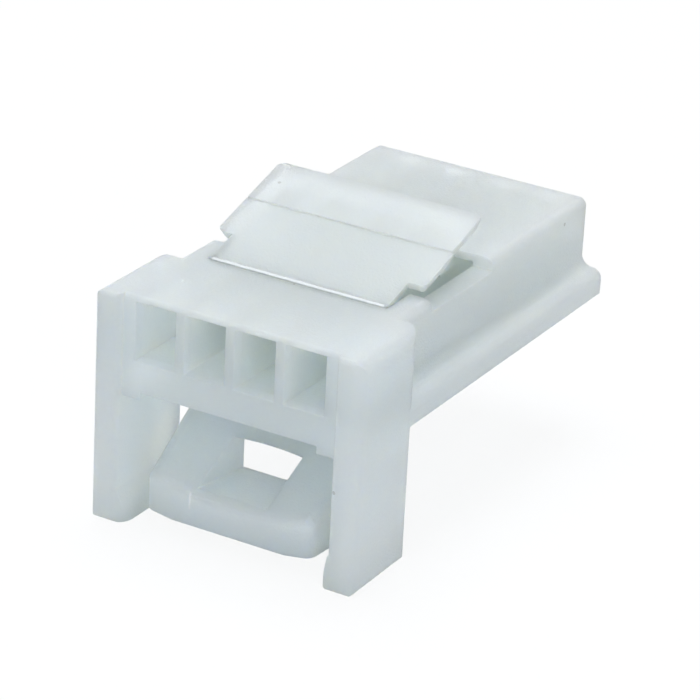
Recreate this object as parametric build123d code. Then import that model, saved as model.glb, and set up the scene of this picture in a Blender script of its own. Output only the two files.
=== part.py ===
from build123d import *
import os
from math import atan, degrees, radians, tan

# Four-way wire to board connector housing, moulded in natural nylon. Sizes in millimetres.
# The origin is the middle of the mating face. +Y points at the board header, +Z to the retainer's side.

# Contact row
circuits = 4
pitch = 2.0
cavityWidth = 1.44
cavityHeight = 2.05
cavityRoof = 0.30
leadIn = 0.10
leadInDepth = 0.30
pinHole = 0.80
pinFunnel = 0.18
matingWall = 1.20

# Body around the contacts
bodyLength = 17.7
bodyHeight = 3.60
sideWall = 0.83
bodyTopRadius = 0.32
railReach = 0.85
railHeight = 0.95
railRadius = 0.40
railRootRadius = 0.42
endRadius = 0.22

# Collar and the two legs that guard the lock lever
collarReach = 0.88
collarDepth = 3.85
collarTopRadius = 0.50
collarEdgeRadius = 0.18
legThickness = 1.10
legDrop = 5.17
legProud = 0.30
legFrontRadius = 0.45
legInnerRadius = 0.25
legBackRadius = 0.95
legTipRadius = 0.30
footReach = 0.36
footHeight = 1.30
footRadius = 0.70
gussetWidth = 0.75
gussetDrop = 0.28

# Contact lances, moulded into the floor of each cavity
lanceWidth = 0.95
lanceSideGap = 0.12
lanceThickness = 0.38
lanceRise = 0.35
lanceRoot = 9.0
lanceLength = 3.3
lanceRelief = 0.40

# Lock lever under the body
padFront = 0.30
padHalfWidth = 3.40
padFlare = 0.35
padLift = 0.50
padTipLift = 0.22
padTipWidth = 1.45
padRampHeight = 1.62
padRampAngle = 25.0
padFrontRadius = 0.40
padEdgeRadius = 0.35
padBlockDepth = 3.08
padDepth = 3.28
dishDepth = 0.36
dishInset = 0.025
slotHalfWidth = 1.42
slotFrontFloor = 1.42
slotBackFloor = 1.02
slotTop = 2.48
armThickness = 0.85
armHalfWidth = 2.10
armRootDepth = 2.0
armNose = 0.5
armRootShare = 0.41
lugWidth = 2.50
lugDepth = 0.90
lugPlace = 8.20
lugFlat = 0.50
lugRamp = 2.60

# Retainer on its film hinge
openAngle = 16.5
hingePlace = 4.40
hingeBeadRadius = 0.15
hingeDepth = 0.10
hingeClearance = 0.02
flapLength = 5.85
flapThickness = 0.40
flapStep = 0.08
flapStepPlace = 3.56
flapTaper = 22.0
neckHalfWidth = 3.60
neckLength = 1.50
earHalfWidth = 4.20
earShoulder = 0.06
earRadius = 0.30
flapClearance = 0.06
toothWidth = 1.00
toothDepth = 1.00
toothPlace = 3.70
toothLength = 1.10
toothLead = 0.30

# How close two places have to be to count as one
same = 0.02

# Places worked out from the sizes above
cavityXs = [(i - (circuits - 1) / 2) * pitch for i in range(circuits)]
bodyHalfWidth = cavityXs[-1] + cavityWidth / 2 + sideWall
collarHalfWidth = bodyHalfWidth + collarReach
railHalfWidth = bodyHalfWidth + railReach
legInner = collarHalfWidth - legThickness
entryY = -bodyLength
collarBackY = entryY + collarDepth
topZ = bodyHeight / 2
bottomZ = -bodyHeight / 2
legTipZ = bottomZ - legDrop
cavityTopZ = topZ - cavityRoof
cavityZ = cavityTopZ - cavityHeight / 2
cavityFloorZ = cavityTopZ - cavityHeight
hingeY = entryY + hingePlace
hingeZ = topZ - hingeDepth
recessDepth = flapThickness + flapClearance
recessStartY = hingeY + neckLength - flapClearance
recessEndY = hingeY + flapLength + flapClearance
padBottomZ = legTipZ + padLift
armBottomZ = padBottomZ + slotTop
armTopZ = armBottomZ + armThickness
armRootRadius = armRootShare * (bottomZ - armTopZ)
dishRadius = ((padHalfWidth - dishInset) ** 2 + dishDepth ** 2) / (2 * dishDepth)


def block(x0, x1, y0, y1, z0, z1):
    # a box given by its two corners
    return Pos((x0 + x1) / 2, (y0 + y1) / 2, (z0 + z1) / 2) * Box(x1 - x0, y1 - y0, z1 - z0)


def mirrored(points):
    # closes the outline of a right-hand half with its mirror image
    return points + [(-x, z) for x, z in reversed(points) if x > 0]


def frontOutline(points):
    # a face in the front view, X across and Z up
    return Plane.XZ * make_face(Polyline(*points, close=True))


def sideOutline(points):
    # a face in the side view, Y across and Z up
    return Plane.YZ * make_face(Polyline(*points, close=True))


def near(outline, spots):
    # the corners of a front view outline that stand at the given X and Z
    return [v for v in outline.vertices() if any(abs(v.X - x) < same and abs(v.Z - z) < same for x, z in spots)]


def body():
    # the slab that holds the contacts, with a rail along each lower side
    railTopZ = bottomZ + railHeight
    corners = [(railHalfWidth, bottomZ), (railHalfWidth, railTopZ), (bodyHalfWidth, railTopZ), (bodyHalfWidth, topZ)]
    outline = frontOutline(mirrored(corners))
    both = (-1, 1)
    outline = fillet(near(outline, [(s * bodyHalfWidth, topZ) for s in both]), bodyTopRadius)
    outline = fillet(near(outline, [(s * railHalfWidth, railTopZ) for s in both]), railRadius)
    outline = fillet(near(outline, [(s * bodyHalfWidth, railTopZ) for s in both]), railRootRadius)
    solid = Pos(0, entryY + collarDepth / 2, 0) * extrude(outline, bodyLength - collarDepth / 2, dir=(0, 1, 0))
    endFace = solid.faces().sort_by(Axis.Y)[-1]
    return fillet(endFace.edges(), endRadius)


def collar():
    # the block round the wire side and the guard legs: where its front, plan and side outlines meet
    frontY = entryY - legProud
    deep = collarBackY - frontY
    gussetX, gussetZ = legInner - gussetWidth, bottomZ - gussetDrop
    front = frontOutline(mirrored([(gussetX, bottomZ), (gussetX, gussetZ), (legInner, gussetZ), (legInner, legTipZ),
                                   (collarHalfWidth, legTipZ), (collarHalfWidth, topZ)]))
    front = fillet(near(front, [(-collarHalfWidth, topZ), (collarHalfWidth, topZ)]), collarTopRadius)
    front = fillet(near(front, [(-collarHalfWidth, legTipZ), (collarHalfWidth, legTipZ)]), legTipRadius)
    solid = Pos(0, frontY, 0) * extrude(front, deep, dir=(0, 1, 0))
    half = [(legInner, entryY), (legInner, frontY), (collarHalfWidth, frontY), (collarHalfWidth, collarBackY)]
    plan = make_face(Polyline(*mirrored(half), close=True))
    for x, y, radius in ((collarHalfWidth, frontY, legFrontRadius), (collarHalfWidth, collarBackY, legBackRadius),
                         (legInner, frontY, legInnerRadius)):
        ends = [v for v in plan.vertices() if abs(abs(v.X) - x) < same and abs(v.Y - y) < same]
        plan = fillet(ends, radius)
    solid &= Pos(0, 0, legTipZ) * extrude(plan, topZ - legTipZ)
    solid += [foot(side) for side in (-1, 1)]
    profile = Plane.YZ * Pos((frontY + collarBackY) / 2, (legTipZ + topZ) / 2) * RectangleRounded(
        deep, topZ - legTipZ, collarEdgeRadius)
    solid &= extrude(profile, collarHalfWidth, both=True)
    rim = solid.edges().filter_by(Axis.X).filter_by(lambda e: abs(e.center().Y - entryY) < same)
    return fillet(rim.sort_by(Axis.Z)[-1], collarEdgeRadius)


def foot(side):
    # the leg's inner side thickens towards its tip, rounded off at the front
    tipX = legInner - footReach
    backX = legInner + footReach
    slope = frontOutline([(side * tipX, legTipZ), (side * backX, legTipZ), (side * backX, legTipZ + footHeight),
                          (side * legInner, legTipZ + footHeight)])
    frontY = entryY - legProud
    wedge = Pos(0, frontY, 0) * extrude(slope, collarBackY - frontY, dir=(0, 1, 0))
    plan = make_face(Polyline((side * tipX, frontY), (side * backX, frontY), (side * backX, collarBackY),
                              (side * tipX, collarBackY), close=True))
    plan = fillet(plan.vertices().sort_by(lambda v: abs(v.X))[:2].sort_by(Axis.Y)[0], footRadius)
    return wedge & Pos(0, 0, legTipZ) * extrude(plan, footHeight)


def cavities():
    # what the core pins leave open: cavity, flared mouth, pin hole with its funnel
    holes = []
    for x in cavityXs:
        holes.append(block(x - cavityWidth / 2, x + cavityWidth / 2, entryY, -matingWall,
                           cavityFloorZ, cavityTopZ))
        mouth = Plane.XZ * Pos(x, cavityZ) * Rectangle(cavityWidth + 2 * leadIn, cavityHeight + 2 * leadIn)
        flare = degrees(atan(leadIn / leadInDepth))
        holes.append(Pos(0, entryY, 0) * extrude(mouth, leadInDepth, dir=(0, 1, 0), taper=flare))
        holes.append(block(x - pinHole / 2, x + pinHole / 2, -matingWall, 0,
                           cavityZ - pinHole / 2, cavityZ + pinHole / 2))
        funnel = Plane.XZ * Pos(x, cavityZ) * Rectangle(pinHole + 2 * pinFunnel, pinHole + 2 * pinFunnel)
        holes.append(extrude(funnel, pinFunnel, dir=(0, -1, 0), taper=45))
    return holes


def lances():
    # a sprung tongue in each floor, with the core slot under it open to the mating face
    slots = []
    tongues = []
    slotHalf = lanceWidth / 2 + lanceSideGap
    rootY = entryY + lanceRoot
    tipY = rootY + lanceLength
    slotZ = cavityFloorZ - lanceThickness - lanceRelief
    for x in cavityXs:
        slots.append(block(x - slotHalf, x + slotHalf, rootY, 0, slotZ, cavityFloorZ))
        tongue = sideOutline([(rootY, cavityFloorZ), (rootY, cavityFloorZ - lanceThickness),
                              (tipY, cavityFloorZ - lanceThickness + lanceRise),
                              (tipY, cavityFloorZ + lanceRise)])
        tongues.append(Pos(x, 0, 0) * extrude(tongue, lanceWidth / 2, both=True))
    return slots, tongues


def retainerRecess():
    # the seat that the closed retainer fills, over the cavities and through both side walls
    floorZ = topZ - recessDepth
    seat = block(-railHalfWidth, railHalfWidth, recessStartY, recessEndY, floorZ, topZ)
    neckHalf = neckHalfWidth + flapClearance
    seat += block(-neckHalf, neckHalf, hingeY, recessStartY, floorZ, topZ)
    bead = Cylinder(hingeBeadRadius + hingeClearance, 2 * neckHalf, rotation=(0, 90, 0))
    return seat + Pos(0, hingeY, hingeZ) * bead


def lockLever():
    # pad with its sloping, dished top, then the arm and its root, the core slot through both and the lug
    frontY = entryY + padFront
    blockBackY = frontY + padBlockDepth
    padBackY = frontY + padDepth
    rootY = -armRootDepth
    rampZ = padBottomZ + padRampHeight
    rampRise = tan(radians(padRampAngle))
    crestY = frontY + (armTopZ - rampZ) / rampRise
    pad = sideOutline([(frontY, padBottomZ), (frontY, rampZ), (crestY, armTopZ), (crestY, armBottomZ),
                       (padBackY, armBottomZ), (padBackY, padBottomZ + slotBackFloor),
                       (blockBackY, padBottomZ + slotBackFloor), (blockBackY, padBottomZ)])
    lever = extrude(pad, padHalfWidth + padFlare, both=True)
    plan = make_face(Polyline((padHalfWidth, frontY), (padHalfWidth + padFlare, crestY),
                              (-padHalfWidth - padFlare, crestY), (-padHalfWidth, frontY), close=True))
    plan = fillet(plan.vertices().filter_by(lambda v: abs(v.Y - frontY) < same), padEdgeRadius)
    lever &= Pos(0, 0, legTipZ) * extrude(plan, legDrop)
    flatHalf = padHalfWidth + padFlare - padTipWidth
    for side in (-1, 1):
        wedge = [(side * flatHalf, padBottomZ), (side * (padHalfWidth + padFlare), padBottomZ),
                 (side * (padHalfWidth + padFlare), padBottomZ + padTipLift)]
        lever -= Pos(0, frontY, 0) * extrude(frontOutline(wedge), padDepth, dir=(0, 1, 0))
    dish = Pos(0, 0, dishRadius - dishDepth) * Cylinder(dishRadius, 4 * padDepth, rotation=(90, 0, 0))
    lever -= Pos(0, frontY, rampZ) * Rot(padRampAngle, 0, 0) * dish
    brow = lever.faces().filter_by(GeomType.CYLINDER).sort_by(SortBy.AREA)[-1].edges().sort_by(Axis.Y)[0]
    lever = fillet(brow, padFrontRadius)
    arm = sideOutline([(padBackY, armBottomZ), (crestY, armTopZ), (rootY, armTopZ), (rootY, bottomZ),
                       (-armNose, bottomZ), (-armNose, armTopZ), (-2 * armNose, armBottomZ)])
    arm = fillet(arm.vertices().filter_by(lambda v: abs(v.Y - rootY) < same and v.Z < bottomZ - same),
                 armRootRadius)
    lever += extrude(arm, armHalfWidth, both=True)
    slot = sideOutline([(frontY, padBottomZ + slotFrontFloor), (frontY, armBottomZ), (padBackY, armBottomZ),
                        (padBackY, padBottomZ + slotBackFloor)])
    lever -= extrude(slot, slotHalfWidth, both=True)
    lugY = entryY + lugPlace
    lug = sideOutline([(lugY, armBottomZ), (lugY, armBottomZ - lugDepth), (lugY + lugFlat, armBottomZ - lugDepth),
                       (lugY + lugRamp, armBottomZ)])
    return lever + extrude(lug, lugWidth / 2, both=True)


def housing():
    solid = body() + collar()
    slots, tongues = lances()
    for hole in cavities() + slots:
        solid -= hole
    for tongue in tongues:
        solid += tongue
    solid -= retainerRecess()
    return solid + lockLever()


def retainer():
    # drawn closed about the hinge, then turned up to the angle that it is moulded at
    wide = earHalfWidth + earShoulder
    ears = [(neckHalfWidth, flapClearance), (neckHalfWidth, neckLength), (wide, neckLength), (wide, flapStepPlace),
            (earHalfWidth, flapStepPlace), (earHalfWidth, flapLength)]
    plan = make_face(Polyline(*mirrored(ears), close=True))
    ends = [v for v in plan.vertices() if abs(v.X) > earHalfWidth - same and abs(v.Y - flapStepPlace) > same]
    plan = fillet(ends, earRadius)
    flap = Pos(0, 0, hingeDepth) * extrude(plan, flapThickness, dir=(0, 0, -1), taper=flapTaper)
    band = plan & Pos(0, (flapStepPlace + flapLength) / 2) * Rectangle(3 * earHalfWidth, flapLength - flapStepPlace)
    flap += Pos(0, 0, hingeDepth) * extrude(band, flapStep)
    flap += Cylinder(hingeBeadRadius, 2 * neckHalfWidth, rotation=(0, 90, 0))
    rootZ = hingeDepth - flapThickness
    for x in cavityXs:
        tooth = sideOutline([(toothPlace, rootZ), (toothPlace, rootZ - toothDepth),
                             (toothPlace + toothLength - toothLead, rootZ - toothDepth),
                             (toothPlace + toothLength, rootZ - toothDepth + toothLead),
                             (toothPlace + toothLength, rootZ)])
        flap += Pos(x, 0, 0) * extrude(tooth, toothWidth / 2, both=True)
    return Pos(0, hingeY, hingeZ) * Rot(openAngle, 0, 0) * flap


os.makedirs("parts", exist_ok=True)
for name, solid in {"housing": housing(), "retainer": retainer()}.items():
    export_step(solid, f"parts/{name}.step")
    print(name, round(solid.volume, 3), solid.bounding_box())
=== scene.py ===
import math
import random
import bmesh
import bpy
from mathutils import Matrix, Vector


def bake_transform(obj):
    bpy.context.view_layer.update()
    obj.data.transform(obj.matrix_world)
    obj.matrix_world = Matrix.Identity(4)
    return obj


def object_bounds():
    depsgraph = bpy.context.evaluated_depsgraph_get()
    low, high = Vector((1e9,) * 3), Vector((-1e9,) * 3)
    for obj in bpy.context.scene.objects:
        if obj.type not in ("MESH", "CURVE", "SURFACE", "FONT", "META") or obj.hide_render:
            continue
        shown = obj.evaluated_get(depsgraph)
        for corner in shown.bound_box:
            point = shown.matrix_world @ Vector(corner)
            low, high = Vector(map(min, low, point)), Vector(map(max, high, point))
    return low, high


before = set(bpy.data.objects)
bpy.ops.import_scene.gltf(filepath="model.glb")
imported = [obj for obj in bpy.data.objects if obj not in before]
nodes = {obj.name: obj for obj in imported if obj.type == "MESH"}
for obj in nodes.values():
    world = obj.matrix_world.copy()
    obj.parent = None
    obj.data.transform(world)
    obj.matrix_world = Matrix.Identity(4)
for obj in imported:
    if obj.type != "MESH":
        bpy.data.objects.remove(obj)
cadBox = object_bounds()
scene = bpy.context.scene
mm = 0.001
print("frame loaded:", ", ".join(sorted(nodes)))


# small helpers for building materials

def newGroup(name, inputs, outputs):
    # an empty node group with named sockets; inputs are (name, kind, default)
    group = bpy.data.node_groups.new(name, "ShaderNodeTree")
    for label, kind, default in inputs:
        socket = group.interface.new_socket(label, in_out="INPUT", socket_type="NodeSocket" + kind)
        if default is not None:
            socket.default_value = default
    for label, kind in outputs:
        group.interface.new_socket(label, in_out="OUTPUT", socket_type="NodeSocket" + kind)
    start = group.nodes.new("NodeGroupInput")
    end = group.nodes.new("NodeGroupOutput")
    start.location, end.location = (-900, 0), (500, 0)
    return group, start, end


def addNode(tree, kind, x=0, y=0, **settings):
    # a shader node with its plain settings given by name
    node = tree.nodes.new("ShaderNode" + kind)
    node.location = (x, y)
    for key, value in settings.items():
        setattr(node, key, value)
    return node


def wire(tree, *pairs):
    # joins sockets, each pair is (output, input)
    for source, target in pairs:
        tree.links.new(source, target)


def maths(tree, operation, a, b=None, x=0, y=0, clamp=False):
    # one math node, whose inputs are sockets or numbers
    node = addNode(tree, "Math", x, y, operation=operation, use_clamp=clamp)
    for i, value in enumerate((a, b)):
        if value is None:
            continue
        if isinstance(value, (int, float)):
            node.inputs[i].default_value = value
        else:
            tree.links.new(value, node.inputs[i])
    return node.outputs[0]


def ramp(tree, value, low, high, toLow=0.0, toHigh=1.0, x=0, y=0):
    # a smooth step of a value between two limits
    node = addNode(tree, "MapRange", x, y, interpolation_type="SMOOTHSTEP")
    tree.links.new(value, node.inputs["Value"])
    for label, number in (("From Min", low), ("From Max", high), ("To Min", toLow), ("To Max", toHigh)):
        node.inputs[label].default_value = number
    return node.outputs["Result"]


def blendColours(tree, factor, a, b, x=0, y=0):
    # mixes two colours, each a socket or a tuple
    node = addNode(tree, "Mix", x, y, data_type="RGBA")
    tree.links.new(factor, node.inputs[0])
    for index, value in ((6, a), (7, b)):
        if isinstance(value, tuple):
            node.inputs[index].default_value = value
        else:
            tree.links.new(value, node.inputs[index])
    return node.outputs[2]


def noiseAt(tree, vector, scale, detail, x=0, y=0, roughness=0.5):
    # one noise value, whose settings are sockets or numbers
    node = addNode(tree, "TexNoise", x, y)
    tree.links.new(vector, node.inputs["Vector"])
    for label, value in (("Scale", scale), ("Detail", detail), ("Roughness", roughness)):
        if isinstance(value, (int, float)):
            node.inputs[label].default_value = value
        else:
            tree.links.new(value, node.inputs[label])
    return node.outputs["Fac"]


# effects that the pieces share, each with its own numbers

softEdge = {"samples": 6, "flat": 0.995, "sharp": 0.80}    # cosine between the true and the rounded normal


def makeSoftEdge():
    # rounds every corner in the shading and says where the corners are
    group, start, end = newGroup("softEdge", [("Radius", "Float", 0.05 * mm)],
                                 [("Normal", "Vector"), ("Corner", "Float")])
    bevel = addNode(group, "Bevel", -500, 0, samples=softEdge["samples"])
    geometry = addNode(group, "NewGeometry", -500, -200)
    dot = addNode(group, "VectorMath", -250, -100, operation="DOT_PRODUCT")
    wire(group, (start.outputs["Radius"], bevel.inputs["Radius"]), (bevel.outputs[0], dot.inputs[0]),
         (geometry.outputs["Normal"], dot.inputs[1]), (bevel.outputs[0], end.inputs["Normal"]))
    corner = ramp(group, dot.outputs["Value"], softEdge["flat"], softEdge["sharp"], x=0, y=-100)
    wire(group, (corner, end.inputs["Corner"]))
    return group


mouldSkin = {
    "grainDetail": 3.0, "pitShare": 0.6,
    "drawStretch": (1.0, 0.04, 1.0), "dragScale": 6500.0, "dragDetail": 2.0,   # lines run along the draw
    "bumpReach": 0.02 * mm, "polished": 0.35, "coarse": 1.05,
}


def makeMouldSkin():
    # the fine matt texture that a spark-eroded mould leaves, with faint drag lines along the draw
    group, start, end = newGroup(
        "mouldSkin", [("Scale", "Float", 20000.0), ("Depth", "Float", 0.3), ("Drag", "Float", 0.3),
                      ("Normal", "Vector", None)], [("Normal", "Vector"), ("Gloss", "Float")])
    place = addNode(group, "TexCoord", -900, 300)
    grain = noiseAt(group, place.outputs["Object"], start.outputs["Scale"], mouldSkin["grainDetail"], -600, 300)
    pits = addNode(group, "TexVoronoi", -600, 50, feature="SMOOTH_F1")
    stretch = addNode(group, "VectorMath", -750, -250, operation="MULTIPLY")
    stretch.inputs[1].default_value = mouldSkin["drawStretch"]
    drag = noiseAt(group, stretch.outputs[0], mouldSkin["dragScale"], mouldSkin["dragDetail"], -600, -250)
    wire(group, (place.outputs["Object"], pits.inputs["Vector"]), (place.outputs["Object"], stretch.inputs[0]),
         (start.outputs["Scale"], pits.inputs["Scale"]))
    pitDepth = maths(group, "MULTIPLY", pits.outputs["Distance"], mouldSkin["pitShare"], -400, 50)
    grainAndPits = maths(group, "ADD", grain, pitDepth, -250, 200)
    dragDepth = maths(group, "MULTIPLY", drag, start.outputs["Drag"], -400, -250)
    height = maths(group, "ADD", grainAndPits, dragDepth, -100, 0)
    gloss = ramp(group, grainAndPits, mouldSkin["polished"], mouldSkin["coarse"], x=100, y=250)
    bump = addNode(group, "Bump", 100, 0)
    bump.inputs["Distance"].default_value = mouldSkin["bumpReach"]
    wire(group, (start.outputs["Depth"], bump.inputs["Strength"]), (height, bump.inputs["Height"]),
         (start.outputs["Normal"], bump.inputs["Normal"]), (bump.outputs[0], end.inputs["Normal"]),
         (gloss, end.inputs["Gloss"]))
    return group


cloudsAndPaintedHollowTone = {
    "cloudDetail": 3.0, "cloudStart": 0.35, "cloudFull": 0.70,
    "hollowSamples": 8, "hollowStart": 0.75, "hollowFull": 0.10,   # share of open sky
}


def makeCloudsAndPaintedHollowTone():
    # slow clouds in the see-through plastic, its own colour, and a painted tone of light in hollows where
    # ambient occlusion finds them, standing in for light that has been through the walls
    group, start, end = newGroup(
        "cloudsAndPaintedHollowTone", [("Skin", "Color", (0.8, 0.8, 0.8, 1)), ("Core", "Color", (0.8, 0.8, 0.8, 1)),
                       ("Cloud Size", "Float", 500.0), ("Clouds", "Float", 0.3), ("Reach", "Float", 2 * mm)],
        [("Color", "Color")])
    place = addNode(group, "TexCoord", -900, 300)
    cloud = noiseAt(group, place.outputs["Object"], start.outputs["Cloud Size"], cloudsAndPaintedHollowTone["cloudDetail"],
                    -600, 300)
    cloud = ramp(group, cloud, cloudsAndPaintedHollowTone["cloudStart"], cloudsAndPaintedHollowTone["cloudFull"], x=-400, y=300)
    hollow = addNode(group, "AmbientOcclusion", -600, 0, samples=cloudsAndPaintedHollowTone["hollowSamples"])
    wire(group, (start.outputs["Reach"], hollow.inputs["Distance"]))
    # painted light: where ambient occlusion finds a hollow, the colour moves towards the hollow tone
    paintedHollowShare = ramp(group, hollow.outputs["AO"], cloudsAndPaintedHollowTone["hollowStart"], cloudsAndPaintedHollowTone["hollowFull"], x=-400, y=0)
    cloudShare = maths(group, "MULTIPLY", cloud, start.outputs["Clouds"], -200, 250)
    share = maths(group, "ADD", cloudShare, paintedHollowShare, 0, 150, clamp=True)
    colour = blendColours(group, share, start.outputs["Skin"], start.outputs["Core"], 200, 100)
    wire(group, (colour, end.inputs["Color"]))
    return group


wearAndEdgeHighlight = {
    "patchScale": 1400.0, "patchDetail": 4.0, "patchStart": 0.40, "patchFull": 0.62,
    "scratchTurns": ((0.3, 0.2, 0.9), (1.2, 0.7, -0.5)), "scratchScales": (900.0, 1400.0),
    "scratchStretch": (0.06, 1.0, 1.0), "scratchWidth": 0.012,
    "sparseScale": 420.0, "sparseDetail": 2.0, "sparseStart": 0.52, "sparseFull": 0.66,
    "speckScale": 620.0, "speckFrom": 0.72,    # the cells whose random value is above this hold a speck
}


def makeWearAndEdgeHighlight():
    # paler corners, in patches, that paint bright edge highlights; the odd fine scratch from loose packing, and
    # dark specks of the granulate
    group, start, end = newGroup(
        "wearAndEdgeHighlight", [("Corner", "Float", 0.0), ("Rub", "Float", 0.4), ("Scratches", "Float", 0.3),
                     ("Speck Size", "Float", 0.05)],
        [("Rubbed", "Float"), ("Scratch", "Float"), ("Speck", "Float")])
    place = addNode(group, "TexCoord", -900, 200)
    spot = place.outputs["Object"]
    patchy = noiseAt(group, spot, wearAndEdgeHighlight["patchScale"], wearAndEdgeHighlight["patchDetail"], -600, 200)
    patchy = ramp(group, patchy, wearAndEdgeHighlight["patchStart"], wearAndEdgeHighlight["patchFull"], x=-400, y=200)
    # painted highlight: corners made paler in patches
    highlightAndWear = maths(group, "MULTIPLY", maths(group, "MULTIPLY", start.outputs["Corner"], patchy, -200, 100),
                   start.outputs["Rub"], 0, 100)
    lines = []
    for i, (turn, scale) in enumerate(zip(wearAndEdgeHighlight["scratchTurns"], wearAndEdgeHighlight["scratchScales"])):
        tilt = addNode(group, "Mapping", -700, -150 - 250 * i)
        tilt.inputs["Rotation"].default_value = turn
        tilt.inputs["Scale"].default_value = wearAndEdgeHighlight["scratchStretch"]
        cells = addNode(group, "TexVoronoi", -500, -150 - 250 * i, feature="DISTANCE_TO_EDGE")
        cells.inputs["Scale"].default_value = scale
        wire(group, (spot, tilt.inputs["Vector"]), (tilt.outputs[0], cells.inputs["Vector"]))
        lines.append(ramp(group, cells.outputs["Distance"], wearAndEdgeHighlight["scratchWidth"], 0.0,
                          x=-300, y=-150 - 250 * i))
    sparse = noiseAt(group, spot, wearAndEdgeHighlight["sparseScale"], wearAndEdgeHighlight["sparseDetail"], -600, -650)
    sparse = ramp(group, sparse, wearAndEdgeHighlight["sparseStart"], wearAndEdgeHighlight["sparseFull"], x=-400, y=-650)
    scratch = maths(group, "MULTIPLY", maths(group, "MAXIMUM", lines[0], lines[1], -100, -250), sparse, 50, -300)
    scratch = maths(group, "MULTIPLY", scratch, start.outputs["Scratches"], 200, -300)
    wire(group, (highlightAndWear, end.inputs["Rubbed"]), (scratch, end.inputs["Scratch"]))
    # one dark speck in a few of the cells
    cells = addNode(group, "TexVoronoi", -600, -900, feature="F1")
    cells.inputs["Scale"].default_value = wearAndEdgeHighlight["speckScale"]
    near = maths(group, "LESS_THAN", cells.outputs["Distance"], start.outputs["Speck Size"], -300, -850)
    parts = addNode(group, "SeparateColor", -400, -1050)
    wire(group, (spot, cells.inputs["Vector"]), (cells.outputs["Color"], parts.inputs[0]))
    few = maths(group, "GREATER_THAN", parts.outputs[0], wearAndEdgeHighlight["speckFrom"], -200, -1050)
    wire(group, (maths(group, "MULTIPLY", near, few, 0, -900), end.inputs["Speck"]))
    return group


paleMarkEdge = {"raggedScale": 7000.0, "raggedDetail": 3.0, "outer": 1.45, "inner": 0.85}


def makePaleMark():
    # one pale mark, ragged at its edge, used as a painted highlight streak
    group, start, end = newGroup("paleMark", [("Middle", "Vector", (0, 0, 0)), ("Reach", "Vector", (mm, mm, mm))],
                                 [("Mark", "Float")])
    place = addNode(group, "TexCoord", -900, 0)
    away = addNode(group, "VectorMath", -700, 0, operation="SUBTRACT")
    scaled = addNode(group, "VectorMath", -500, 0, operation="DIVIDE")
    length = addNode(group, "VectorMath", -300, 0, operation="LENGTH")
    ragged = noiseAt(group, place.outputs["Object"], paleMarkEdge["raggedScale"], paleMarkEdge["raggedDetail"],
                     -500, -250)
    wire(group, (place.outputs["Object"], away.inputs[0]), (start.outputs["Middle"], away.inputs[1]),
         (away.outputs[0], scaled.inputs[0]), (start.outputs["Reach"], scaled.inputs[1]),
         (scaled.outputs[0], length.inputs[0]))
    distance = maths(group, "ADD", length.outputs["Value"], ragged, -100, -100)
    wire(group, (ramp(group, distance, paleMarkEdge["outer"], paleMarkEdge["inner"], x=100), end.inputs["Mark"]))
    return group


effects = {"softEdge": makeSoftEdge(), "mouldSkin": makeMouldSkin(), "cloudsAndPaintedHollowTone": makeCloudsAndPaintedHollowTone(),
           "wearAndEdgeHighlight": makeWearAndEdgeHighlight(), "paleMark": makePaleMark()}
print("shared effects built")


def placeEffect(tree, name, x, y, **values):
    # puts a shared effect in a material with its own values; underscores stand for spaces
    node = tree.nodes.new("ShaderNodeGroup")
    node.node_tree = effects[name]
    node.location = (x, y)
    for key, value in values.items():
        node.inputs[key.replace("_", " ")].default_value = value
    return node


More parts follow.
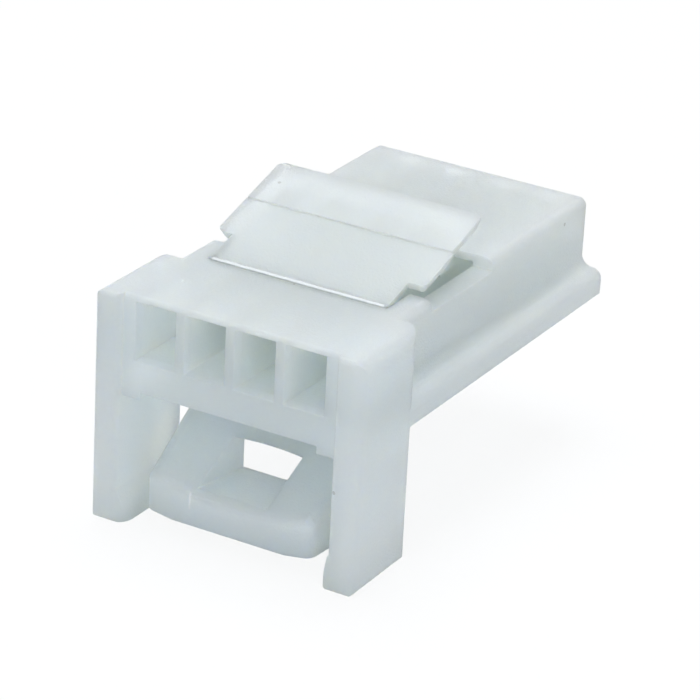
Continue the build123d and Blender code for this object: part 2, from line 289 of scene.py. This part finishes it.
def makeNylon(name, look):
    # natural nylon: milky, a little see-through, satin from the mould
    material = bpy.data.materials.new(name)
    material.use_nodes = True
    tree = material.node_tree
    skin = tree.nodes["Principled BSDF"]
    edge = placeEffect(tree, "softEdge", -1100, -300, Radius=look["cornerRadius"])
    grain = placeEffect(tree, "mouldSkin", -700, -300, Scale=look["grainScale"], Depth=look["grainDepth"],
                        Drag=look["dragLines"])
    milk = placeEffect(tree, "cloudsAndPaintedHollowTone", -1100, 300, Skin=look["skin"], Core=look["core"],
                       Cloud_Size=look["cloudScale"], Clouds=look["clouds"], Reach=look["hollowReach"])
    wornAndHighlit = placeEffect(tree, "wearAndEdgeHighlight", -800, 50, Rub=look["edgeHighlight"], Scratches=look["scratches"],
                       Speck_Size=look["speckSize"])
    wire(tree, (edge.outputs["Normal"], grain.inputs["Normal"]), (edge.outputs["Corner"], wornAndHighlit.inputs["Corner"]))
    # pale joins the painted edge highlights, the real scratches and the painted highlight streak
    pale = maths(tree, "MAXIMUM", wornAndHighlit.outputs["Rubbed"], wornAndHighlit.outputs["Scratch"], -550, 50)
    # painted highlight: a pale streak at each listed place
    for middle, reach in look["paintedHighlightStreaks"]:
        paleMark = placeEffect(tree, "paleMark", -800, 550, Middle=[mm * c for c in middle],
                            Reach=[mm * c for c in reach])
        pale = maths(tree, "MAXIMUM", pale, paleMark.outputs["Mark"], -550, 450)
    colour = blendColours(tree, pale, milk.outputs["Color"], look["highlightAndWear"], -450, 250)
    speck = maths(tree, "MULTIPLY", wornAndHighlit.outputs["Speck"], look["speckShade"], -450, 400)
    colour = blendColours(tree, speck, colour, look["speckColour"], -250, 250)
    low, high = look["roughness"]
    rough = ramp(tree, grain.outputs["Gloss"], 0.0, 1.0, low, high, -450, -100)
    rougher = maths(tree, "MULTIPLY", pale, look["highlightAndWearRoughness"], -350, -50)
    rough = maths(tree, "ADD", rough, rougher, -200, -50, clamp=True)
    wire(tree, (colour, skin.inputs["Base Color"]), (rough, skin.inputs["Roughness"]),
         (grain.outputs["Normal"], skin.inputs["Normal"]))
    # where paled by the painted highlights or by scratches, the plastic scatters at its surface and lets little
    # light in
    sound = maths(tree, "SUBTRACT", 1.0, pale, -350, -500, clamp=True)
    milky = ramp(tree, sound, 0.0, 1.0, look["highlightAndWearMilk"], 1.0, -200, -450)
    milky = maths(tree, "MULTIPLY", milky, look["milk"], 0, -450)
    clear = maths(tree, "MULTIPLY", sound, look["seeThrough"], -150, -650)
    wire(tree, (milky, skin.inputs["Subsurface Weight"]), (clear, skin.inputs["Transmission Weight"]))
    skin.subsurface_method = "RANDOM_WALK"
    skin.inputs["Subsurface Radius"].default_value = look["milkReach"]
    skin.inputs["Subsurface Scale"].default_value = mm
    skin.inputs["IOR"].default_value = look["ior"]
    skin.inputs["Specular IOR Level"].default_value = look["specular"]
    return material


housingLook = {
    "skin": (0.870, 0.948, 1.0, 1),        # colour of the outer faces
    "core": (0.965, 0.995, 0.940, 1),      # tone of the plastic's own clouds, and the painted tone of light in hollows
    "highlightAndWear": (0.93, 0.955, 0.97, 1),      # colour of the painted edge highlights and highlight streak, and of the scratches
    "clouds": 0.20, "cloudScale": 420.0, "hollowReach": 1.6 * mm,
    "cornerRadius": 0.07 * mm,
    "grainScale": 14000.0, "grainDepth": 0.75, "dragLines": 0.5,
    "edgeHighlight": 0.45, "scratches": 0.30, "highlightAndWearRoughness": 0.15,
    "speckSize": 0.045, "speckShade": 0.6, "speckColour": (0.42, 0.43, 0.42, 1),
    "roughness": (0.36, 0.52), "specular": 0.45, "ior": 1.53,
    "milk": 1.0, "highlightAndWearMilk": 0.3,
    "milkReach": (2.1, 2.0, 1.65),         # how far light travels inside, mm for red, green, blue
    "seeThrough": 0.50,
    "paintedHighlightStreaks": [((-1.58, -17.30, -5.55), (0.055, 0.45, 0.62))],   # middle and reach of each painted highlight streak, mm
}
retainerLook = dict(housingLook, clouds=0.15, cloudScale=600.0, paintedHighlightStreaks=(), skin=(0.875, 0.948, 1.0, 1),
                    cornerRadius=0.03 * mm, roughness=(0.32, 0.48), milkReach=(3.0, 2.9, 2.4))

for nodeName, look in (("housing", housingLook), ("retainer", retainerLook)):
    piece = nodes[nodeName]
    piece.data.materials.clear()
    piece.data.materials.append(makeNylon(nodeName + "Nylon", look))
print("nylon on both mouldings")


# the film hinge: a thin, drawn-out web along the line between slab and flap

filmHinge = {
    "halfWidth": 3.52, "place": (-13.3, 1.70),     # mm; y and z of the line that it bends about
    "top": ((-0.125, 0.106), (-0.105, 0.119), (-0.08, 0.134), (-0.05, 0.147), (-0.02, 0.152), (0.01, 0.152),
            (0.03, 0.147), (0.05, 0.140), (0.065, 0.132)),     # y and z from that line, slab to flap
    "thickness": 0.05, "columns": 72,
    "waviness": 0.008, "swayShares": (0.6, 0.4), "seed": 4,      # a drawn web is never quite straight
    "bendStart": -0.13, "bendEnd": 0.03,
    # painted shade: the hinge's hollow tone is darker than its skin, so it darkens where ambient occlusion finds
    # a hollow; its clouds are its own colour
    "look": dict(housingLook, paintedHighlightStreaks=(), skin=(0.64, 0.67, 0.69, 1), core=(0.56, 0.59, 0.60, 1), clouds=0.5,
                 cloudScale=1500.0, cornerRadius=0.02 * mm, milk=0.0, seeThrough=0.0, roughness=(0.30, 0.42)),
}


def makeFilmHinge():
    shape = filmHinge
    dice = random.Random(shape["seed"])
    hingeY, hingeZ = shape["place"]
    swayY, swayZ = shape["swayShares"]
    bottom = [(y, z - shape["thickness"]) for y, z in reversed(shape["top"])]
    loop = list(shape["top"]) + bottom
    points, faces = [], []
    for i in range(shape["columns"] + 1):
        x = shape["halfWidth"] * (2 * i / shape["columns"] - 1)
        sway = dice.uniform(-1, 1) * shape["waviness"]
        for y, z in loop:
            points.append((x * mm, (hingeY + y + sway * swayY) * mm, (hingeZ + z + sway * swayZ) * mm))
    count = len(loop)
    for i in range(shape["columns"]):
        for k in range(count):
            a, b = i * count + k, i * count + (k + 1) % count
            faces.append((a, b, b + count, a + count))
    faces.append(tuple(range(count)))
    faces.append(tuple(shape["columns"] * count + k for k in reversed(range(count))))
    mesh = bpy.data.meshes.new("filmHinge")
    mesh.from_pydata(points, [], faces)
    work = bmesh.new()
    work.from_mesh(mesh)
    bmesh.ops.recalc_face_normals(work, faces=work.faces)
    for face in work.faces:
        face.smooth = len(face.verts) == 4
    work.to_mesh(mesh)
    work.free()
    web = bpy.data.objects.new("filmHinge", mesh)
    scene.collection.objects.link(web)
    mesh.materials.append(makeNylon("hingeNylon", shape["look"]))
    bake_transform(web)


makeFilmHinge()
print("film hinge made")


# floor, light and camera: plain soft light, and ground that is white by its own material

studio = {
    "floorDrop": 0.02 * mm, "floorSize": 900 * mm,
    "floorColour": (0.87, 0.90, 0.93, 1), "floorRoughness": 0.9,
    "floorShadow": 0.12,                           # share of real shading in the white ground
    "worldColour": (0.93, 0.965, 1.0, 1), "worldStrength": 0.44,
    "bounces": 24,                                 # light goes through many thin walls
    "lamps": {     # size in mm, power, place in mm and colour
        "overheadSoftbox": (150, 0.315, (-30, 20, 190), (0.97, 0.985, 1.0)),
        "cameraSoftbox": (110, 0.105, (108, -150, 76), (0.97, 0.985, 1.0)),
    },
}
partMiddle = (cadBox[0] + cadBox[1]) / 2


def makeFloor():
    half = studio["floorSize"] / 2
    level = cadBox[0].z - studio["floorDrop"]
    mesh = bpy.data.meshes.new("floorMesh")
    mesh.from_pydata([(-half, -half, level), (half, -half, level), (half, half, level), (-half, half, level)],
                     [], [(0, 1, 2, 3)])
    floor = bpy.data.objects.new("floor", mesh)
    scene.collection.objects.link(floor)
    material = bpy.data.materials.new("floorPaper")
    material.use_nodes = True
    tree = material.node_tree
    paper = tree.nodes["Principled BSDF"]
    paper.inputs["Base Color"].default_value = studio["floorColour"]
    paper.inputs["Roughness"].default_value = studio["floorRoughness"]
    white = addNode(tree, "Emission", 0, -300)
    path = addNode(tree, "LightPath", -200, 400)
    seen = maths(tree, "MAXIMUM", path.outputs["Is Camera Ray"],
                 maths(tree, "MAXIMUM", path.outputs["Is Glossy Ray"], path.outputs["Is Transmission Ray"]))
    share = maths(tree, "MULTIPLY", seen, 1 - studio["floorShadow"])
    mix = addNode(tree, "MixShader", 300, 0)
    output = tree.nodes["Material Output"]
    wire(tree, (share, mix.inputs[0]), (paper.outputs[0], mix.inputs[1]), (white.outputs[0], mix.inputs[2]),
         (mix.outputs[0], output.inputs["Surface"]))
    mesh.materials.append(material)


def makeWorld():
    world = bpy.data.worlds.new("paleStudio")
    world.use_nodes = True
    tree = world.node_tree
    light = tree.nodes["Background"]
    light.inputs["Color"].default_value = studio["worldColour"]
    light.inputs["Strength"].default_value = studio["worldStrength"]
    white = addNode(tree, "Background", 0, -200)
    path = addNode(tree, "LightPath", -200, 300)
    seen = maths(tree, "MAXIMUM", path.outputs["Is Camera Ray"],
                 maths(tree, "MAXIMUM", path.outputs["Is Glossy Ray"], path.outputs["Is Transmission Ray"]))
    mix = addNode(tree, "MixShader", 300, 0)
    wire(tree, (seen, mix.inputs[0]), (light.outputs[0], mix.inputs[1]), (white.outputs[0], mix.inputs[2]),
         (mix.outputs[0], tree.nodes["World Output"].inputs["Surface"]))
    white.inputs["Color"].default_value = (1, 1, 1, 1)
    scene.world = world


def makeLamps():
    for name, (size, power, place, colour) in studio["lamps"].items():
        data = bpy.data.lights.new(name, "AREA")
        data.shape, data.size, data.energy, data.color = "DISK", size * mm, power, colour
        lamp = bpy.data.objects.new(name, data)
        lamp.location = [mm * c for c in place]
        lamp.rotation_euler = (partMiddle - lamp.location).to_track_quat("-Z", "Y").to_euler()
        scene.collection.objects.link(lamp)


cameraView = {
    "place": (59.81, -116.09, 53.02),       # mm
    "turn": (65.660, -2.766, 30.514),       # degrees
    "lens": 191.40, "sensor": 36.0,
    "nearest": 10,                          # mm
}


def makeCamera():
    data = bpy.data.cameras.new("photoCamera")
    data.lens, data.sensor_width = cameraView["lens"], cameraView["sensor"]
    data.clip_start = cameraView["nearest"] * mm
    camera = bpy.data.objects.new("photoCamera", data)
    camera.location = [mm * c for c in cameraView["place"]]
    camera.rotation_euler = [math.radians(a) for a in cameraView["turn"]]
    scene.collection.objects.link(camera)
    scene.camera = camera


makeFloor()
makeWorld()
makeLamps()
makeCamera()
scene.view_settings.view_transform = "Standard"
for kind in ("max_bounces", "diffuse_bounces", "transmission_bounces"):
    setattr(scene.cycles, kind, studio["bounces"])
print("floor, light and camera set")
